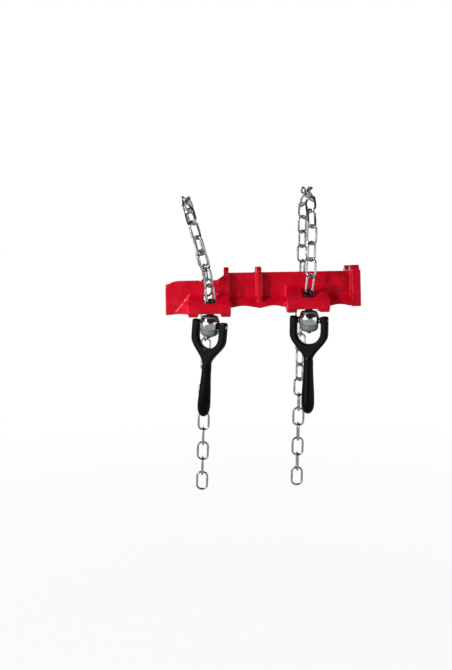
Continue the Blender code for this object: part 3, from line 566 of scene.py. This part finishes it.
def softCopy(name, node, voxel, smoothing, mat):
    obj = bpy.data.objects.new(name, nodes[node].data.copy())
    bpy.context.scene.collection.objects.link(obj)
    remesh = obj.modifiers.new("remesh", "REMESH")
    remesh.mode = "VOXEL"
    remesh.voxel_size = voxel
    smooth = obj.modifiers.new("smooth", "SMOOTH")
    smooth.factor = 0.5
    smooth.iterations = smoothing
    applied(obj)
    obj.data.materials.clear()
    obj.data.materials.append(mat)
    obj.data.shade_smooth()
    return obj


def openBore(mesh, place):
    # smoothing draws a small hole in, so its wall goes back to the drilled width
    level = place.inverted()
    for vertex in mesh.vertices:
        point = level @ vertex.co
        reach = math.hypot(point.x, point.y)
        if 1e-6 < reach < casting["bore"] / 2 and 0 <= point.z < casting["boreLength"]:
            widen = casting["bore"] / 2 / reach
            vertex.co = place @ Vector((point.x * widen, point.y * widen, point.z))


def makeCasting():
    body = softCopy("castBase", "base_casting", casting["voxel"], casting["smoothing"], redEnamel)
    for word in sides:
        openBore(body.data, screwFrame(sides[word]))
    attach(body, "base")
    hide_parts("base_casting")
    print("casting:", len(body.data.polygons), "faces")


makeCasting()


for word in sides:
    makeChain(word)
print("chains made")


# Turned pieces: a profile of (radius, height) points about the frame's Z
def turned(profile, steps, place):
    bm = bmesh.new()
    rings = []
    for radius, height in profile:
        if radius == 0:
            rings.append([bm.verts.new((0, 0, height))])
            continue
        rings.append([bm.verts.new((radius * math.cos(math.tau * k / steps),
                                    radius * math.sin(math.tau * k / steps), height)) for k in range(steps)])
    for a, b in zip(rings, rings[1:]):
        for k in range(steps):
            n = (k + 1) % steps
            if len(a) == 1:
                bm.faces.new((a[0], b[n], b[k]))
            elif len(b) == 1:
                bm.faces.new((a[k], a[n], b[0]))
            else:
                bm.faces.new((a[k], a[n], b[n], b[k]))
    bmesh.ops.transform(bm, matrix=place, verts=bm.verts)
    return bm


def closedRing(profile, steps, place):
    # the profile's last point joins its first, for a piece with a hole down the middle
    return turned(profile + [profile[0]], steps, place)


def rounded(corners, radius, arcSteps=4):
    # each corner of a closed profile replaced by a small arc
    points = []
    count = len(corners)
    for k, corner in enumerate(corners):
        here = Vector(corner)
        before = Vector(corners[k - 1]) - here
        after = Vector(corners[(k + 1) % count]) - here
        cut = min(radius, before.length * 0.45, after.length * 0.45)
        a = here + before.normalized() * cut
        b = here + after.normalized() * cut
        for s in range(arcSteps + 1):
            t = s / arcSteps
            points.append(tuple((1 - t)**2 * a + 2 * t * (1 - t) * here + t**2 * b))
    return points


# Clamp screws: forged eye, threaded shank
def upOf(place):
    return place.to_3x3() @ Vector((0, 0, 1))


def threadedRod(low, high, place):
    bm = bmesh.new()
    around, perTurn = 28, 8
    steps = int((high - low) / (screw["pitch"] / perTurn))
    rings = []
    for k in range(steps + 1):
        z = low + (high - low) * k / steps
        fade = min(1.0, min(z - low, high - z) / screw["pitch"])
        ring = []
        for s in range(around):
            turn = s / around
            wave = abs(((z / screw["pitch"] - turn) % 1.0) * 2 - 1)
            radius = screw["outside"] / 2 - screw["threadDepth"] * (1 - fade * wave)
            angle = math.tau * turn
            ring.append(bm.verts.new((radius * math.cos(angle), radius * math.sin(angle), z)))
        rings.append(ring)
    for a, b in zip(rings, rings[1:]):
        for s in range(around):
            n = (s + 1) % around
            bm.faces.new((a[s], a[n], b[n], b[s]))
    bm.faces.new(list(reversed(rings[0])))
    bm.faces.new(rings[-1])
    bmesh.ops.transform(bm, matrix=place, verts=bm.verts)
    return bm


def makeScrew(word):
    side = sides[word]
    place = screwFrame(side)
    up = upOf(place)
    joints, _, lift = chainLayout(side)
    sign = 1 if (len(joints) - 2) % 2 == 0 else -1
    turn = -math.radians(chain["rollDeg"]) * sign
    wide = place.to_3x3() @ Vector((math.cos(turn), math.sin(turn), 0))
    height = lift + chain["play"] / 2 + screw["eyeBar"] / 2 - screw["eyeRadius"]
    centre = place.translation + up * height
    bm = bmesh.new()
    centres, radii = [], []
    for k in range(48):
        a = math.tau * k / 48
        centres.append(centre + screw["eyeRadius"] * (math.cos(a) * wide + math.sin(a) * up))
        # the bar is a little thicker where the eye meets its shank
        radii.append(screw["eyeBar"] / 2 * (1 + 0.16 * max(0, -math.sin(a)) ** 3 - 0.02 * max(0, math.sin(a))))
    wireLoop(bm, centres, radii, wide.cross(up), 18)
    eye = meshObject(f"{word}Eye", bm, blackOxide, 60)
    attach(eye, f"{word}_screw")
    low = -(washer["thick"] + 2 * washer["gap"] + nut["length"] + screw["end"])
    high = height - screw["eyeRadius"]
    shank = meshObject(f"{word}Shank", threadedRod(low, high, place), blackOxide, 50)
    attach(shank, f"{word}_screw")
    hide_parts(f"{word}_chain_screw")


# Thrust washers: black rings in the neck between each lug and its nut, their black partly the washer's oxide
# and partly painted shade for the shadow that falls there
washer = {"outside": 0.016, "thick": 0.004, "gap": 0.0003, "bore": 0.0106, "edge": 0.0007}


def makeWasherAndShade(word):
    outer, inner = washer["outside"] / 2, washer["bore"] / 2
    top = -washer["gap"]
    low = top - washer["thick"]
    profile = rounded([(inner, low), (outer, low), (outer, top), (inner, top)], washer["edge"])
    # the black ring is partly painted shade: it stands in for the shadow in the neck under the lug
    piece = meshObject(f"{word}WasherAndShade", closedRing(profile, 64, screwFrame(sides[word])), blackOxide, 50)
    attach(piece, "base")
    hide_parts(f"{word}_thrust_washer")


# Clamp nuts: a barrel with a cone top, a bright band and a satin collar
nut = {
    "length": 0.045,
    "bore": 0.0106,
    "pivotDrop": 0.020,
    # diameter and distance from the top
    "corners": ((0.0336, 0.0), (0.0446, 0.0122), (0.0440, 0.0272),
                (0.0400, 0.0286), (0.0392, 0.0390), (0.0260, 0.0448)),
    "collarDrop": 0.0279,
    "topDrop": 0.0040,
    "edge": 0.0035,
}


def nutFrame(side):
    drop = Matrix.Translation((0, 0, -(washer["thick"] + 2 * washer["gap"])))
    return screwFrame(side) @ drop @ Matrix.Rotation(math.radians(side["turnDeg"]), 4, "Z")


def makeNut(word):
    # the collar and the top edge are left as cut, the cone and the band are polished
    inner = nut["bore"] / 2
    corners = [(inner, 0.0)] + [(diameter / 2, -drop) for diameter, drop in nut["corners"]]
    corners.append((inner, -nut["corners"][-1][1]))
    profile = rounded(corners, nut["edge"], 6)
    place = nutFrame(sides[word])
    piece = meshObject(f"{word}Nut", closedRing(profile, 96, place), platedSteel, 50)
    piece.data.materials.append(satinSteel)
    level = place.inverted()
    for face in piece.data.polygons:
        drop = -(level @ face.center).z
        if drop > nut["collarDrop"] or drop < nut["topDrop"]:
            face.material_index = 1
    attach(piece, f"{word}_nut")
    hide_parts(f"{word}_clamp_nut")


# Trunnion pins, with a chamfered outer end
pin = {"outside": 0.0080, "start": 0.0150, "end": 0.0422, "edge": 0.0009}


def makePins(word):
    place = nutFrame(sides[word])
    pivot = Matrix.Translation((0, 0, -nut["pivotDrop"]))
    for way, end in ((-1, "low"), (1, "high")):
        corners = [(0, pin["start"]), (pin["outside"] / 2, pin["start"]),
                   (pin["outside"] / 2, pin["end"] - pin["edge"]),
                   (pin["outside"] / 2 - pin["edge"], pin["end"]), (0, pin["end"])]
        turn = Matrix.Rotation(way * math.pi / 2, 4, "Y")
        piece = meshObject(f"{word}Pin{end.title()}", turned(corners, 40, place @ pivot @ turn),
                           platedSteel, 30)
        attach(piece, f"{word}_nut")
        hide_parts(f"{word}_trunnion_pin_{end}_x")


# Fork handles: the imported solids, with every edge rounded as a casting's are
fork = {"voxel": 0.0007, "smoothing": 9}


def makeFork(word):
    node = f"{word}_fork_handle"
    piece = softCopy(f"{word}Fork", node, fork["voxel"], fork["smoothing"], blackEnamel)
    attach(piece, f"{word}_handle")
    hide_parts(node)


for word in sides:
    makeScrew(word)
    makeWasherAndShade(word)
    makeNut(word)
    makePins(word)
    makeFork(word)
print("screws, nuts and handles made")


# Studio: a paper floor below and a white world behind, a dark room in front, soft boxes at both sides
studio = {
    "floorHeight": -0.95,
    "floorSize": 40.0,
    "floorColour": "#A8A8A8",
    "floorGlow": 0.94,
    "fadeStart": 1.2,
    "fadeEnd": 3.0,
    "floorSheen": 0.45,
    "diffuse": 0.17,
    "glossRoom": 0.03,
    "glossBack": 1.0,
}
lamps = (
    # name, place, aimed at, width, height, watts
    ("softboxLeft", (-1.45, -1.22, -0.05), (0, 0, -0.1), 2.2, 0.95, 15),
    ("softboxRight", (1.63, -0.98, -0.10), (0, 0, -0.1), 1.8, 0.90, 7),
    ("keyLeft", (-1.50, -1.15, 0.75), (0, 0, -0.05), 0.14, 0.14, 23),
    ("backFill", (0.9, 1.9, 0.9), (0, 0, -0.05), 1.4, 1.2, 16),
)


def makeLamp(name, place, target, width, height, watts):
    data = bpy.data.lights.new(name, "AREA")
    data.shape = "RECTANGLE"
    data.size, data.size_y = width, height
    data.energy = watts
    lamp = bpy.data.objects.new(name, data)
    lamp.location = place
    lamp.rotation_euler = (Vector(target) - Vector(place)).to_track_quat("-Z", "Y").to_euler()
    bpy.context.scene.collection.objects.link(lamp)


def makeWorld():
    world = bpy.data.worlds.new("studioWhite")
    bpy.context.scene.world = world
    world.use_nodes = True
    tree = world.node_tree
    background = tree.nodes["Background"]
    background.inputs["Color"].default_value = (1, 1, 1, 1)
    # gloss sees the white world straight behind the object and the dark room all round
    place = addNode(tree, "ShaderNodeTexCoord").outputs["Generated"]
    split = addNode(tree, "ShaderNodeSeparateXYZ", inputs={"Vector": place})
    gloss = addNode(tree, "ShaderNodeMapRange", inputs={
        "Value": split.outputs["Y"], "From Min": 0.70, "From Max": 0.95,
        "To Min": studio["glossRoom"], "To Max": studio["glossBack"]})
    path = addNode(tree, "ShaderNodeLightPath")
    sheen = addNode(tree, "ShaderNodeMix", inputs={
        "Factor": path.outputs["Is Glossy Ray"], "A": studio["diffuse"], "B": gloss.outputs["Result"]})
    through = addNode(tree, "ShaderNodeMath", {"operation": "MAXIMUM"}, inputs={
        0: path.outputs["Is Camera Ray"], 1: path.outputs["Is Transmission Ray"]})
    level = addNode(tree, "ShaderNodeMix", inputs={
        "Factor": through.outputs[0], "A": sheen.outputs["Result"], "B": 1.0})
    tree.links.new(level.outputs["Result"], background.inputs["Strength"])


def makeFloor():
    bm = bmesh.new()
    half = studio["floorSize"] / 2
    bm.faces.new([bm.verts.new((x, y, studio["floorHeight"]))
                  for x, y in ((-half, -half), (half, -half), (half, half), (-half, half))])
    mat, tree, shader = newMaterial("studioPaper")
    # paper seen as plain white, with the object's shadow left faintly under it
    shader.inputs["Base Color"].default_value = linear(studio["floorColour"])
    shader.inputs["Roughness"].default_value = 0.9
    shader.inputs["Specular IOR Level"].default_value = 0.1
    glow = addNode(tree, "ShaderNodeEmission", inputs={"Color": (1, 1, 1, 1), "Strength": 1.0})
    place = addNode(tree, "ShaderNodeNewGeometry").outputs["Position"]
    reach = addNode(tree, "ShaderNodeVectorMath", {"operation": "LENGTH"}, inputs={0: place})
    fade = addNode(tree, "ShaderNodeMapRange", inputs={
        "Value": reach.outputs["Value"], "From Min": studio["fadeStart"], "From Max": studio["fadeEnd"],
        "To Min": studio["floorGlow"], "To Max": 1.0})
    path = addNode(tree, "ShaderNodeLightPath")
    direct = addNode(tree, "ShaderNodeMath", {"operation": "MAXIMUM"}, inputs={
        0: path.outputs["Is Camera Ray"], 1: path.outputs["Is Transmission Ray"]})
    seen = addNode(tree, "ShaderNodeMath", {"operation": "MULTIPLY_ADD"}, inputs={
        0: path.outputs["Is Glossy Ray"], 1: studio["floorSheen"], 2: direct.outputs[0]})
    share = addNode(tree, "ShaderNodeMath", {"operation": "MULTIPLY"}, inputs={
        0: seen.outputs[0], 1: fade.outputs["Result"]})
    mix = addNode(tree, "ShaderNodeMixShader", inputs={"Fac": share.outputs[0]})
    tree.links.new(shader.outputs[0], mix.inputs[1])
    tree.links.new(glow.outputs[0], mix.inputs[2])
    tree.links.new(mix.outputs[0], tree.nodes["Material Output"].inputs["Surface"])
    meshObject("studioFloor", bm, mat)


makeWorld()
makeFloor()
for lamp in lamps:
    makeLamp(*lamp)
print("studio ready")
